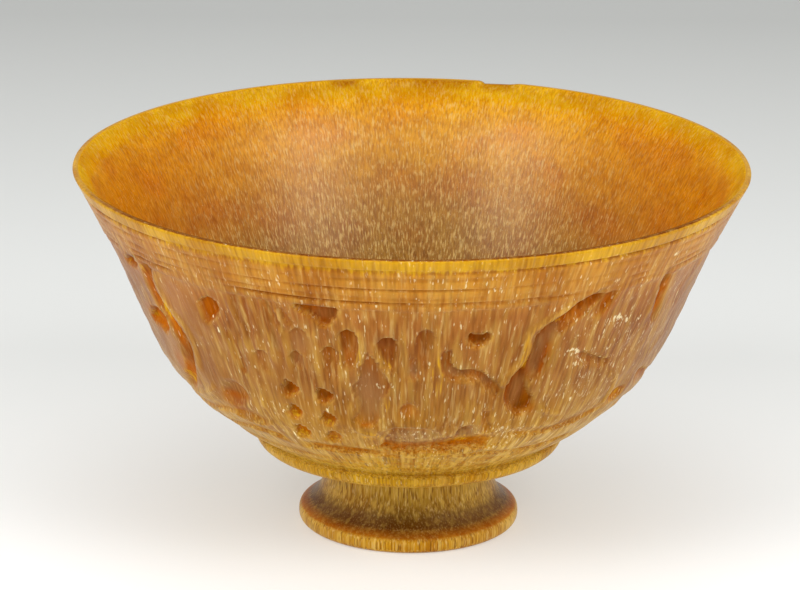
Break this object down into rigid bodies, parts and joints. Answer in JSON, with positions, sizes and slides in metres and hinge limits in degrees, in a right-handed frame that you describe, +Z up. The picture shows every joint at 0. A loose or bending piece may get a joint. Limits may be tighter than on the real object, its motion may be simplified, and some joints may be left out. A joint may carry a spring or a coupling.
{
  "type": "libation cup",
  "caption": "Round libation cup of carved horn: a flared bowl with a carved landscape frieze under a band of string lines, standing on a low waisted foot.",
  "frame": {"origin": "middle of the face that the foot rests on", "axes": "+Z up out of the mouth, -Y towards the front that the picture shows"},
  "size_m": [0.14, 0.14, 0.078],
  "materials": {
    "bowl_horn": "polished translucent honey-coloured horn",
    "foot_horn": "polished olive-brown horn"
  },
  "bodies": {
    "root": {"bowl": "bowl_horn", "foot": "foot_horn"}
  },
  "joints": []
}
